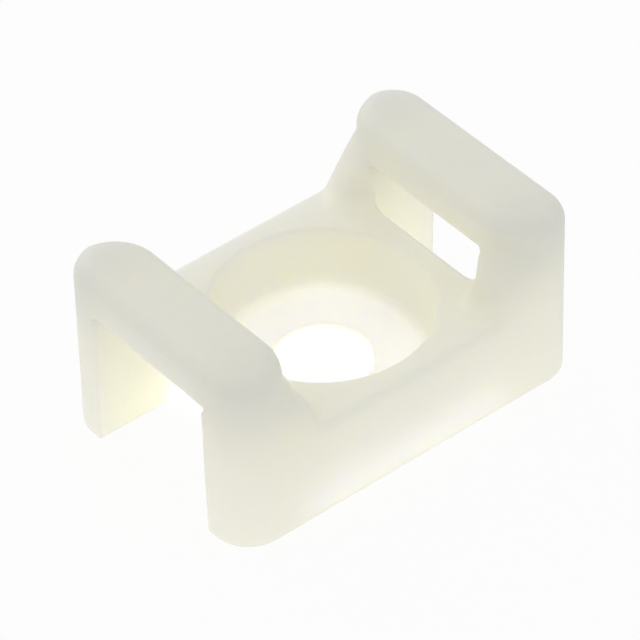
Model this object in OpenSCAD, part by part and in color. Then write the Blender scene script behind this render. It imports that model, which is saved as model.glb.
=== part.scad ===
// Cable tie mount, moulded in one piece: a base plate with a screw recess between two side
// walls, and at each end a rounded bar that bridges the walls above an open slot.
// X runs along the mount, Y across it, Z up. The origin is the centre of the base face.

/* [Overall] */
// length over both ends
body_length = 22.5; // [20:0.1:30]
// width over both side walls
body_width = 14.5; // [13.8:0.1:18]
// height from the base face to the top of the bars
body_height = 10.7; // [10.3:0.1:13]

/* [Base plate] */
// height of the plate's top face
plate_height = 5.75; // [4.5:0.05:6.2]
// how far each end face of the plate leans in towards its bottom edge
plate_end_lean = 1.3; // [0.6:0.05:1.5]
// radius along the plate's outer top edges
side_edge_radius = 0.5; // [0.3:0.05:0.7]

/* [Bars] */
// size of each bar along the mount
bar_width = 4.25; // [3.6:0.05:4.4]
// height of the bars' flat underside
bar_underside = 8.35; // [8:0.05:8.7]
// radius along the bars' top edges
bar_edge_radius = 1.0; // [0.6:0.05:1.1]

/* [Slots] */
// width of the slots between the side walls, at the base face
slot_width = 8.8; // [7:0.1:9.2]
// width of the slots at the bars' underside, less by the mould's draft
slot_top_width = 8.45; // [6.6:0.05:8.6]

/* [Gussets] */
// from a bar's inner face to where the gusset's slope meets the plate
gusset_run = 0.8; // [0.5:0.05:1.2]
// lean of the gusset's slope from upright, in degrees
gusset_lean = 32.6; // [28:0.1:38]
// radius between the gusset's slope and the plate
gusset_foot_radius = 0.8; // [0.65:0.05:1]

/* [Screw recess] */
// diameter of the recess at the plate's top face
recess_diameter = 11.8; // [10.5:0.1:12]
// diameter of the recess at its floor
recess_floor_diameter = 10.9; // [9.4:0.1:11]
// material left under the recess floor
floor_thickness = 2.1; // [1.2:0.1:3]
// diameter of the screw hole
hole_diameter = 5.2; // [3.2:0.1:6]
// broken edge round the recess rim
rim_break = 0.15; // [0.05:0.05:0.25]

/* [Hidden] */
$fn = 96;
eps = 0.5;
half_l = body_length / 2;
half_w = body_width / 2;
corner_r = bar_width / 2;
bar_x = half_l - corner_r;
span = half_w - corner_r;
inner_x = half_l - bar_width;
foot_x = inner_x - gusset_run;
shoulder_z = body_height - bar_edge_radius;
rise = 90 - gusset_lean;
foot_t = gusset_foot_radius * tan(rise / 2);
fillet_x = foot_x - foot_t;
fillet_z = plate_height + gusset_foot_radius;
slope_x = fillet_x + gusset_foot_radius * sin(rise);
slope_z = fillet_z - gusset_foot_radius * cos(rise);
crest_z = body_height + eps;
draft = (slot_width - slot_top_width) / 2 / bar_underside;
lean = plate_end_lean / plate_height;
bar_drop = body_height - bar_underside;

// rounded rectangle of the whole mount, seen from above
module plan_outline() {
    square([body_length - 2 * corner_r, body_width], center = true);
    square([body_length, body_width - 2 * corner_r], center = true);
    for (sx = [-1, 1], sy = [-1, 1])
        translate([sx * bar_x, sy * span])
            circle(r = corner_r);
}

// stands a drawing in x and z upright and gives it a thickness right across the mount
module upright() {
    translate([0, half_w + eps, 0])
        rotate([90, 0, 0])
            linear_extrude(height = body_width + 2 * eps)
                children();
}

// the open space over the plate, seen from the side
module gap_outline() {
    cx = slope_x + (crest_z - slope_z) * tan(gusset_lean);
    polygon([
        [-fillet_x, plate_height],
        [fillet_x, plate_height],
        [slope_x, slope_z],
        [cx, crest_z],
        [-cx, crest_z],
        [-slope_x, slope_z]
    ]);
    for (s = [-1, 1])
        translate([s * fillet_x, fillet_z])
            circle(r = gusset_foot_radius);
}

// both slots under the bars and the space between them over the plate
module tie_way() {
    low_y = slot_width / 2 + draft * eps;
    top_y = slot_top_width / 2;
    low_x = inner_x - plate_end_lean - lean * eps;
    intersection() {
        upright()
            polygon([
                [-half_l - eps, -eps],
                [-low_x, -eps],
                [-inner_x, plate_height],
                [inner_x, plate_height],
                [low_x, -eps],
                [half_l + eps, -eps],
                [half_l + eps, bar_underside],
                [-half_l - eps, bar_underside]
            ]);
        rotate([90, 0, 90])
            translate([0, 0, -half_l - 2 * eps])
                linear_extrude(height = body_length + 4 * eps)
                    polygon([
                        [-low_y, -eps],
                        [low_y, -eps],
                        [top_y, bar_underside],
                        [-top_y, bar_underside]
                    ]);
    }
}

// what rounding an edge takes away, drawn with the edge at the origin and the part below left
module edge_waste() {
    difference() {
        translate([-side_edge_radius, -side_edge_radius])
            square([side_edge_radius + eps, side_edge_radius + eps]);
        translate([-side_edge_radius, -side_edge_radius])
            circle(r = side_edge_radius);
    }
}

// rounds the plate's edge along the side y = half_w
module plate_edge() {
    rotate([90, 0, 90])
        translate([half_w, plate_height, -fillet_x])
            linear_extrude(height = 2 * fillet_x)
                edge_waste();
}

// recess for the screw head and the hole below it
module screw_recess() {
    wall = (recess_diameter - recess_floor_diameter) / 2 / (plate_height - floor_thickness);
    translate([0, 0, floor_thickness])
        cylinder(
            h = plate_height - floor_thickness + eps,
            r1 = recess_floor_diameter / 2,
            r2 = recess_diameter / 2 + wall * eps
        );
    translate([0, 0, plate_height - rim_break])
        cylinder(
            h = rim_break + eps,
            r1 = recess_diameter / 2 - wall * rim_break,
            r2 = recess_diameter / 2 + rim_break + eps
        );
    translate([0, 0, -eps])
        cylinder(h = floor_thickness + 2 * eps, r = hole_diameter / 2);
}

// plate, side walls and gussets, up to the bars
module base() {
    difference() {
        union() {
            linear_extrude(height = bar_underside)
                plan_outline();
            for (sx = [0, 1], sy = [0, 1])
                mirror([sx, 0, 0])
                    mirror([0, sy, 0])
                        translate([inner_x, span, bar_underside - eps])
                            cube([corner_r, corner_r, shoulder_z - bar_underside + eps]);
        }
        upright()
            gap_outline();
        tie_way();
        screw_recess();
        for (sy = [0, 1])
            mirror([0, sy, 0])
                plate_edge();
    }
}

// half of a bar's section, drawn from its middle outwards
module bar_half_section() {
    square([corner_r - bar_edge_radius, bar_drop]);
    square([corner_r, bar_drop - bar_edge_radius]);
    translate([corner_r - bar_edge_radius, bar_drop - bar_edge_radius])
        intersection() {
            circle(r = bar_edge_radius);
            square(bar_edge_radius);
        }
}

// one bar, with its top edges rounded along its length and round its two ends
module bar() {
    translate([bar_x, 0, bar_underside]) {
        translate([0, span, 0])
            rotate([90, 0, 0])
                linear_extrude(height = 2 * span) {
                    bar_half_section();
                    mirror([1, 0])
                        bar_half_section();
                }
        for (a = [0, 180])
            rotate([0, 0, a])
                translate([0, span, 0])
                    rotate_extrude(angle = 180)
                        bar_half_section();
    }
}

module mount() {
    color("ivory") {
        base();
        for (sx = [0, 1])
            mirror([sx, 0, 0])
                bar();
    }
}

mount();
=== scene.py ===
import math

import bpy
import numpy as np
from mathutils import Matrix, Vector


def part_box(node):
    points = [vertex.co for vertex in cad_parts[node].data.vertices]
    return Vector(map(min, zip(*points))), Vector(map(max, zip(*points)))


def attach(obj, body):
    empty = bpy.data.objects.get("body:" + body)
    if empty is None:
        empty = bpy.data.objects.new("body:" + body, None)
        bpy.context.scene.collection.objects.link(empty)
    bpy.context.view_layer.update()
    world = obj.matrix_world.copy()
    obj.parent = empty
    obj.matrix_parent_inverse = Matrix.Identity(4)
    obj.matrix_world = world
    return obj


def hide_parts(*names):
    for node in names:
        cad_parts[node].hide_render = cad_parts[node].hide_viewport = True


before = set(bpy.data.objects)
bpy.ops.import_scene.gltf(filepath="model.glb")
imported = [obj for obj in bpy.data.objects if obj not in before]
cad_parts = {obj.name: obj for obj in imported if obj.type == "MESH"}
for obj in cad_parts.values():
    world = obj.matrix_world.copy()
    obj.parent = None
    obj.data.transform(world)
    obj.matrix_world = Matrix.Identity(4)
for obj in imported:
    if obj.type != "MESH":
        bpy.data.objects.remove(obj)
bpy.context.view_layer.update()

low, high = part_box("mount")

# ---------------------------------------------------------------- sizes, in millimetres
MM = 0.001
HALF_L = (high[0] - low[0]) / 2 / MM
HALF_W = (high[1] - low[1]) / 2 / MM
HEIGHT = (high[2] - low[2]) / MM

PLATE_Z = 5.75          # plate's top face
BAR_Z = 8.35            # bars' flat underside
BAR_WIDTH = 4.25        # bar's size along the mount
BAR_EDGE = 1.03         # radius along the bars' top edges
CORNER = 2.12           # radius of the mount's four upright corners
BAR_CORNER = 2.7        # radius of the bars' inner corners, in plan
INNER_X = HALF_L - BAR_WIDTH
END_LEAN = 1.3          # how far the plate's end leans in at its foot
SIDE_EDGE = 0.5         # radius along the plate's and gussets' outer edges
SHARP = 0.12            # the mould's smallest edge radius

GUSSET_LEAN = math.radians(29)     # the gussets' lean from upright
FLARE_Z = 9.0           # height at which a gusset flares out of the bar's inner corner
INNER_TURN = math.radians(36)      # how far a gusset's inner face turns away from the slot
INNER_LEAN = 0.27       # lean of that face near its foot
INNER_LEAN_Z = 7.0      # height below which it leans
INNER_LEAN_DROP = 1.3   # and how far down the lean goes on
GUSSET_EDGE = 0.3       # radius along the gussets' inner edges
NOTCH = 0.15            # fillet where a gusset runs into a bar's round end
FOOT_RADIUS = 0.6       # fillet round a gusset's foot
SIDE_FOOT_RADIUS = 0.15            # what is left of it at the mount's side
FOOT_FADE = (5.6, 6.9)  # between these distances from the middle line the one becomes the other

SLOT_LOW, SLOT_TOP = 4.4, 4.22     # slot's half width at the base and under the bar
SLOT_CORNER = 0.3       # radius of the slot's upright inner corners
SLOT_START = 0.02       # how far the slot starts behind the bar's inner face
SLOT_REACH = 0.5        # how much further it reaches close under the bar, to leave that edge clean
SLOT_REACH_Z = (7.2, 8.1)          # heights between which it grows to that
UNDER_EDGE = 0.15       # fillet in the slot's upper corners
NICK = 0.22             # how much wider the slot is right under the bar
NICK_BELOW = (0.6, 0.1) # depths under the bar where that starts and is full

RIM_R, FLOOR_R, FLOOR_Z = 5.9, 5.45, 2.1
HOLE_R = 2.6
FLOOR_FILLET = 0.35     # radius between the recess's wall and floor
RIM_EDGE = 0.15         # radius along the recess's rim
HOLE_EDGE = 0.1         # radius along the hole's rim

GRID = 0.15             # spacing of the grid that the surface is found on
PAD = 2.3 * GRID        # room left round the mount in that grid
SETTLE_ROUNDS = 5
PULL = 0.1              # the most that a point moves at once on its way to the surface


# ---------------------------------------------------------------- distance field of the mount
def both(a, b, r):
    """Where a and b overlap, the edge rounded to r."""
    return np.minimum(np.maximum(a, b), -r) + np.hypot(np.maximum(a + r, 0), np.maximum(b + r, 0))


def either(a, b, r):
    """a joined to b, the inside corner filled to radius r."""
    return -both(-a, -b, r)


def step(v, a, b):
    """Rises smoothly from 0 at a to 1 at b."""
    t = np.clip((v - a) / (b - a), 0, 1)
    return t * t * (3 - 2 * t)


def rounded_box(x, y, hx, hy, r):
    """Distance to a rectangle in plan with rounded corners."""
    qx, qy = np.abs(x) - hx + r, np.abs(y) - hy + r
    return np.hypot(np.maximum(qx, 0), np.maximum(qy, 0)) + np.minimum(np.maximum(qx, qy), 0) - r


def mount_field(p):
    """Below nought inside the mount, in millimetres; the same in all four quarters."""
    x, y, z = np.abs(p[:, 0]), np.abs(p[:, 1]), p[:, 2]
    # plate's top face, the gussets that flare down to it from the bars' inner corners, and their outer edges
    flare = np.hypot(x - INNER_X - BAR_CORNER, y - HALF_W + BAR_CORNER) - BAR_CORNER
    flare = np.where(x < INNER_X + BAR_CORNER, flare, y - HALF_W)
    slope = flare * math.cos(GUSSET_LEAN) - (FLARE_Z - z) * math.sin(GUSSET_LEAN)
    inner = (INNER_X - x) * math.sin(INNER_TURN) + (SLOT_TOP - y) * math.cos(INNER_TURN)
    inner = inner - INNER_LEAN * np.clip(INNER_LEAN_Z - z, 0, INNER_LEAN_DROP)
    gusset = both(slope, inner, GUSSET_EDGE)
    foot = step(-y, -FOOT_FADE[1], -FOOT_FADE[0])
    lower = either(z - PLATE_Z, gusset, SIDE_FOOT_RADIUS + (FOOT_RADIUS - SIDE_FOOT_RADIUS) * foot)
    lower = both(lower, y - HALF_W, SIDE_EDGE)
    # bars, their inner corners rounded in plan, and rounded over along the top
    bar_plan = both(INNER_X - x, y - HALF_W, BAR_CORNER)
    body = either(lower, both(bar_plan, z - HEIGHT, BAR_EDGE), NOTCH)
    outside = rounded_box(x, y, HALF_L, HALF_W, CORNER)
    body = np.maximum(body, both(outside, z - HEIGHT, BAR_EDGE))
    # the strap's way: a slot down through each end
    way = y - SLOT_LOW + (SLOT_LOW - SLOT_TOP) * np.clip(z / BAR_Z, 0, 1.3)
    way = way - NICK * step(z, BAR_Z - NICK_BELOW[0], BAR_Z - NICK_BELOW[1])
    end_x = INNER_X - SLOT_START - END_LEAN * np.clip((PLATE_Z - z) / PLATE_Z, 0, 1.1)
    end_x = end_x - SLOT_REACH * step(z, *SLOT_REACH_Z)
    slot = both(end_x - x, way, SLOT_CORNER)
    slot = both(slot, z - BAR_Z, UNDER_EDGE)
    body = both(body, -slot, SHARP)
    # screw recess and hole
    rad = np.hypot(x, y)
    wall_r = FLOOR_R + (RIM_R - FLOOR_R) * (z - FLOOR_Z) / (PLATE_Z - FLOOR_Z)
    bowl = both(rad - wall_r, FLOOR_Z - z, FLOOR_FILLET)
    body = both(body, -bowl, RIM_EDGE)
    body = both(body, HOLE_R - rad, HOLE_EDGE)
    return both(body, -z, SHARP)


def gradient(field, p, e=0.01):
    """The field's slope at each point."""
    g = np.empty_like(p)
    for k in range(3):
        d = np.zeros(3)
        d[k] = e
        g[:, k] = (field(p + d) - field(p - d)) / (2 * e)
    return g


def surface_net(field, lo, hi, h):
    """A quad mesh of the field's zero surface: one point in each grid cell that the surface crosses."""
    n = [int(math.ceil((b - a) / h)) + 1 for a, b in zip(lo, hi)]
    axes = [lo[k] + h * np.arange(n[k]) for k in range(3)]
    val = np.empty(n, np.float64)
    yy, zz = np.meshgrid(axes[1], axes[2], indexing="ij")
    for i, xv in enumerate(axes[0]):
        pts = np.stack([np.full(yy.size, xv), yy.ravel(), zz.ravel()], 1)
        val[i] = field(pts).reshape(n[1], n[2])
    inside = val < 0
    total = n[0] * n[1] * n[2]
    acc = np.zeros((total, 3))
    cnt = np.zeros(total)
    stride = (n[1] * n[2], n[2], 1)
    quads = []
    for k in range(3):
        sl0 = [slice(None)] * 3
        sl1 = [slice(None)] * 3
        sl0[k], sl1[k] = slice(0, -1), slice(1, None)
        a, b = inside[tuple(sl0)], inside[tuple(sl1)]
        idx = np.argwhere(a != b)
        va = val[idx[:, 0], idx[:, 1], idx[:, 2]]
        nxt = idx.copy()
        nxt[:, k] += 1
        vb = val[nxt[:, 0], nxt[:, 1], nxt[:, 2]]
        t = va / (va - vb)
        pos = np.stack([axes[m][idx[:, m]] for m in range(3)], 1)
        pos[:, k] += t * h
        u, v = (k + 1) % 3, (k + 2) % 3
        base = idx @ np.array(stride)
        cells = [base, base - stride[u], base - stride[u] - stride[v], base - stride[v]]
        for c in cells:
            for m in range(3):
                acc[:, m] += np.bincount(c, pos[:, m], total)
            cnt += np.bincount(c, minlength=total)
        q = np.stack(cells, 1)
        flip = ~(va < 0)
        q[flip] = q[flip][:, ::-1]
        quads.append(q)
    quads = np.vstack(quads)
    used = np.flatnonzero(cnt)
    remap = np.full(total, -1)
    remap[used] = np.arange(used.size)
    return acc[used] / cnt[used, None], remap[quads]


def settle(field, pts, quads, rounds):
    """Evens the points out along the surface and puts each back on it."""
    e = np.vstack([quads[:, [0, 1]], quads[:, [1, 2]], quads[:, [2, 3]], quads[:, [3, 0]]])
    deg = np.bincount(e[:, 0], minlength=len(pts)) + np.bincount(e[:, 1], minlength=len(pts))
    for turn in range(rounds):
        if turn < rounds - 2:
            total = [np.bincount(e[:, 0], pts[e[:, 1], m], len(pts))
                     + np.bincount(e[:, 1], pts[e[:, 0], m], len(pts)) for m in range(3)]
            pts = pts + 0.5 * (np.stack(total, 1) / deg[:, None] - pts)
        for _ in range(2):
            g = gradient(field, pts)
            g2 = np.maximum((g * g).sum(1), 0.25)
            move = -(field(pts) / g2)[:, None] * g
            pts = pts + np.clip(move, -PULL, PULL)
    return pts


pts, quads = surface_net(mount_field, (-HALF_L - PAD, -HALF_W - PAD, -PAD),
                         (HALF_L + PAD, HALF_W + PAD, HEIGHT + PAD), GRID)
pts = settle(mount_field, pts, quads, SETTLE_ROUNDS)
print("mount surface", len(pts), "points", len(quads), "quads")
centre = [(low[0] + high[0]) / 2, (low[1] + high[1]) / 2, low[2]]
world_pts = np.clip(pts * MM + np.array(centre), list(low), list(high))

mesh = bpy.data.meshes.new("moulding")
mesh.vertices.add(len(world_pts))
mesh.vertices.foreach_set("co", world_pts.astype(np.float32).ravel())
mesh.loops.add(quads.size)
mesh.loops.foreach_set("vertex_index", quads.astype(np.int32).ravel())
mesh.polygons.add(len(quads))
mesh.polygons.foreach_set("loop_start", np.arange(0, quads.size, 4, dtype=np.int32))
mesh.polygons.foreach_set("use_smooth", np.ones(len(quads), bool))
mesh.update(calc_edges=True)
mesh.validate()
moulding = bpy.data.objects.new("moulding", mesh)
bpy.context.scene.collection.objects.link(moulding)
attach(moulding, "root")
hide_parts("mount")


# ---------------------------------------------------------------- material
# painted shade: the nylon's colour runs from LOW_COLOUR to a darker, greyer colour high up and in the
# corners below the bars, standing in for less light shining up through it from the lit table
LOW_COLOUR = (0.985, 0.958, 0.768, 1)        # at the plate, where the painted shade is least
SHADED_COLOUR = (0.79, 0.79, 0.668, 1)         # painted shade: darker and greyer high up in the bars and in the corners below them, where less light comes up through the plastic
SHADE_Z = (4.2, 10.5)   # heights between which the painted shade comes in, in millimetres
SHADE_Y = (2.5, 6.5)    # and how far off the middle line it does so fully
SHADE_MIDDLE = 0.75     # share of it on the middle line
CORNER_SHADE = 0.55            # painted shade of the corners below the bars, at its most
CORNER_SHADE_IN = (4.9, 1.9)   # their middles, from the mount's ends and sides
CORNER_SHADE_FADE = (2.2, 0.8) # distances from there between which it comes in
CORNER_SHADE_Z = (5.5, 6.8)    # and heights
CLOUD = 0.08            # how much the tone wanders at random
ROUGHNESS = (0.38, 0.56)


def nylon():
    """Natural nylon: milky and translucent, faintly cloudy, with a satin skin, and painted shade that makes
    it darker and greyer high up in the bars and in the corners below them.
    """
    mat = bpy.data.materials.new("natural_nylon")
    mat.use_nodes = True
    nt = mat.node_tree
    link = nt.links.new
    bsdf = nt.nodes["Principled BSDF"]
    bsdf.inputs["IOR"].default_value = 1.5
    bsdf.inputs["Subsurface Weight"].default_value = 0.6
    bsdf.inputs["Subsurface Radius"].default_value = (1.0, 1.0, 2.0)
    bsdf.inputs["Subsurface Scale"].default_value = 4.0 * MM
    where = nt.nodes.new("ShaderNodeTexCoord")
    split = nt.nodes.new("ShaderNodeSeparateXYZ")
    link(where.outputs["Object"], split.inputs[0])

    def maths(operation, a, b=None, clamp=False):
        node = nt.nodes.new("ShaderNodeMath")
        node.operation = operation
        node.use_clamp = clamp
        link(a, node.inputs[0])
        if b is not None:
            link(b, node.inputs[1])
        return node.outputs[0]

    def fade(value, start, end, to_min=0.0, to_max=1.0, smooth=True):
        node = nt.nodes.new("ShaderNodeMapRange")
        if smooth:
            node.interpolation_type = "SMOOTHSTEP"
        node.inputs["From Min"].default_value = start
        node.inputs["From Max"].default_value = end
        node.inputs["To Min"].default_value = to_min
        node.inputs["To Max"].default_value = to_max
        link(value, node.inputs["Value"])
        return node.outputs["Result"]

    def noise(scale, detail, roughness=0.5):
        node = nt.nodes.new("ShaderNodeTexNoise")
        node.inputs["Scale"].default_value = scale
        node.inputs["Detail"].default_value = detail
        node.inputs["Roughness"].default_value = roughness
        link(where.outputs["Object"], node.inputs["Vector"])
        return node.outputs["Fac"]

    def bump(height, strength, distance):
        node = nt.nodes.new("ShaderNodeBump")
        node.inputs["Strength"].default_value = strength
        node.inputs["Distance"].default_value = distance * MM
        link(height, node.inputs["Height"])
        return node

    # colour: painted shade, darker and greyer towards the bars, where less light comes up from the table
    # below
    across = maths("ABSOLUTE", split.outputs["Y"])
    rise = fade(split.outputs["Z"], low[2] + SHADE_Z[0] * MM, low[2] + SHADE_Z[1] * MM)
    ends = fade(across, SHADE_Y[0] * MM, SHADE_Y[1] * MM, to_min=SHADE_MIDDLE)
    bar_shade = maths("MULTIPLY", rise, ends)
    # painted shade in the corners below the bars as well
    along = maths("ABSOLUTE", split.outputs["X"])
    corner = nt.nodes.new("ShaderNodeCombineXYZ")
    link(along, corner.inputs["X"])
    link(across, corner.inputs["Y"])
    away = nt.nodes.new("ShaderNodeVectorMath")
    away.operation = "DISTANCE"
    away.inputs[1].default_value = ((HALF_L - CORNER_SHADE_IN[0]) * MM, (HALF_W - CORNER_SHADE_IN[1]) * MM, 0)
    link(corner.outputs[0], away.inputs[0])
    corner_shade_mask = fade(away.outputs["Value"], CORNER_SHADE_FADE[0] * MM, CORNER_SHADE_FADE[1] * MM)
    above = fade(split.outputs["Z"], low[2] + CORNER_SHADE_Z[0] * MM, low[2] + CORNER_SHADE_Z[1] * MM, to_max=CORNER_SHADE)
    painted_shade = maths("MAXIMUM", bar_shade, maths("MULTIPLY", corner_shade_mask, above))
    sway = fade(noise(260, 3, 0.45), 0, 1, -CLOUD, CLOUD, smooth=False)
    share = maths("ADD", painted_shade, sway, clamp=True)
    # painted shade: the ramp runs from the lit colour at the plate to the darker, greyer colour of the
    # shaded parts, with the random cloud on top
    colour = nt.nodes.new("ShaderNodeValToRGB")
    colour.color_ramp.elements[0].color = LOW_COLOUR
    colour.color_ramp.elements[1].color = SHADED_COLOUR
    link(share, colour.inputs[0])
    link(colour.outputs["Color"], bsdf.inputs["Base Color"])

    # skin: satin, a little uneven, with the mould's fine grain
    patch = noise(700, 4)
    link(fade(patch, 0, 1, *ROUGHNESS, smooth=False), bsdf.inputs["Roughness"])
    fine = bump(noise(5200, 2), 0.12, 0.01)
    soft = bump(patch, 0.25, 0.03)
    link(fine.outputs["Normal"], soft.inputs["Normal"])
    link(soft.outputs["Normal"], bsdf.inputs["Normal"])
    return mat


mesh.materials.append(nylon())

# ---------------------------------------------------------------- floor and light
GAP = 0.4 * MM          # room for the lit table's lamps between the floor and the mount
SKY_LOW, SKY_HIGH = 0.66, 0.78
TABLE, MIDDLE, SLOTS = 0.25, 0.8, 0.24       # radiance of the lit table, of the part under the recess
                                             # and of the parts under the slots
TABLE_COLOUR = (0.975, 0.98, 1.0)
MIDDLE_COLOUR = (0.965, 0.975, 1.0)
SLOTS_COLOUR = (0.93, 0.955, 1.0)
FAR = 0.1               # what the soft lamp beyond the mount adds to a face that looks at it
SOFTBOX = 0.2           # its size, in metres
FLOOR_GLOW = 0.93       # how much of the floor's picture is plain white
bpy.ops.mesh.primitive_plane_add(size=1.2, location=(0, 0, low[2] - GAP))
floor = bpy.context.object
floor.name = "floor"
fm = bpy.data.materials.new("floor_white")
fm.use_nodes = True
nt = fm.node_tree
floor_bsdf = nt.nodes["Principled BSDF"]
floor_bsdf.inputs["Base Color"].default_value = (0.9, 0.9, 0.9, 1)
floor_bsdf.inputs["Roughness"].default_value = 0.9
glow = nt.nodes.new("ShaderNodeEmission")
glow.inputs["Strength"].default_value = 1.0
path = nt.nodes.new("ShaderNodeLightPath")
seen = nt.nodes.new("ShaderNodeMath")
seen.operation = "MULTIPLY"
seen.inputs[1].default_value = FLOOR_GLOW
mixed = nt.nodes.new("ShaderNodeMixShader")
nt.links.new(path.outputs["Is Camera Ray"], seen.inputs[0])
nt.links.new(seen.outputs[0], mixed.inputs[0])
nt.links.new(floor_bsdf.outputs[0], mixed.inputs[1])
nt.links.new(glow.outputs[0], mixed.inputs[2])
nt.links.new(mixed.outputs[0], nt.nodes["Material Output"].inputs["Surface"])
floor.data.materials.append(fm)

world = bpy.context.scene.world or bpy.data.worlds.new("world")
bpy.context.scene.world = world
world.use_nodes = True
sky = world.node_tree
sky.nodes["Background"].inputs[0].default_value = (1, 1, 1, 1)
aim_at = sky.nodes.new("ShaderNodeTexCoord")
height = sky.nodes.new("ShaderNodeSeparateXYZ")
fade = sky.nodes.new("ShaderNodeMapRange")
fade.inputs["From Min"].default_value = 0.0
fade.inputs["From Max"].default_value = 1.0
fade.inputs["To Min"].default_value = SKY_LOW
fade.inputs["To Max"].default_value = SKY_HIGH
sky.links.new(aim_at.outputs["Generated"], height.inputs[0])
sky.links.new(height.outputs["Z"], fade.inputs["Value"])
sky.links.new(fade.outputs["Result"], sky.nodes["Background"].inputs[1])


def soft_lamp(name, place, aim_point, size_x, size_y, energy):
    """An area lamp that the camera doesn't see."""
    lamp = bpy.data.lights.new(name, "AREA")
    lamp.shape = "RECTANGLE"
    lamp.size, lamp.size_y = size_x, size_y
    lamp.energy = energy
    o = bpy.data.objects.new(name, lamp)
    bpy.context.scene.collection.objects.link(o)
    o.location = place
    o.rotation_euler = (Vector(aim_point) - o.location).to_track_quat("-Z", "Y").to_euler()
    o.visible_camera = False
    return o


def table_light(name, x, size_x, size_y, share, level, colour):
    """Part of the lit table that the mount lies on. Each lies at its own share of the gap's depth,
    because lamps in one plane would hide each other."""
    place = Vector((centre[0] + x * MM, centre[1], low[2] - GAP * share))
    energy = 4 * size_x * size_y * MM * MM * level
    o = soft_lamp(name, place, place + Vector((0, 0, 1)), size_x * MM, size_y * MM, energy)
    o.rotation_euler = (math.pi, 0, 0)
    o.visible_glossy = False
    o.data.color = colour


table_light("light_table", 0, 50, 42, 0.6, TABLE, TABLE_COLOUR)
table_light("light_table_middle", 0, 13, 12, 0.5, MIDDLE, MIDDLE_COLOUR)
for sign in (-1, 1):
    table_light("light_table_slot", sign * (INNER_X + 1.7), 3.2, 8, 0.4, SLOTS, SLOTS_COLOUR)
place = Vector(centre) + Vector((0, 0.25, 0.12))
soft_lamp("softbox_far", place, Vector(centre) + Vector((0, 0, HEIGHT * MM / 2)), SOFTBOX, SOFTBOX,
          FAR * 4 * math.pi * place.length ** 2)

# ---------------------------------------------------------------- camera
AZIMUTH, ELEVATION, ROLL = math.radians(-38.6), math.radians(41.42), math.radians(-1.49)
DISTANCE = 250.24 * MM
VIEW_ANGLE = math.radians(7.48907)
AIM = Vector((-0.209, -0.067, 4.83))         # what the camera looks at, from the base's centre
aim = Vector(centre) + AIM * MM
back = Vector((math.sin(AZIMUTH) * math.cos(ELEVATION), -math.cos(AZIMUTH) * math.cos(ELEVATION),
               math.sin(ELEVATION)))
right = Vector((math.cos(AZIMUTH), math.sin(AZIMUTH), 0))
up = back.cross(right)
right_r = math.cos(ROLL) * right + math.sin(ROLL) * up
up_r = -math.sin(ROLL) * right + math.cos(ROLL) * up
cam = bpy.data.objects.new("camera", bpy.data.cameras.new("camera"))
bpy.context.scene.collection.objects.link(cam)
cam.data.sensor_fit = "HORIZONTAL"
cam.data.angle = VIEW_ANGLE
cam.data.clip_start = 0.01
rot = Matrix((right_r, up_r, back)).transposed()
cam.matrix_world = Matrix.Translation(aim + back * DISTANCE) @ rot.to_4x4()
bpy.context.scene.camera = cam

bpy.context.scene.view_settings.view_transform = "Standard"
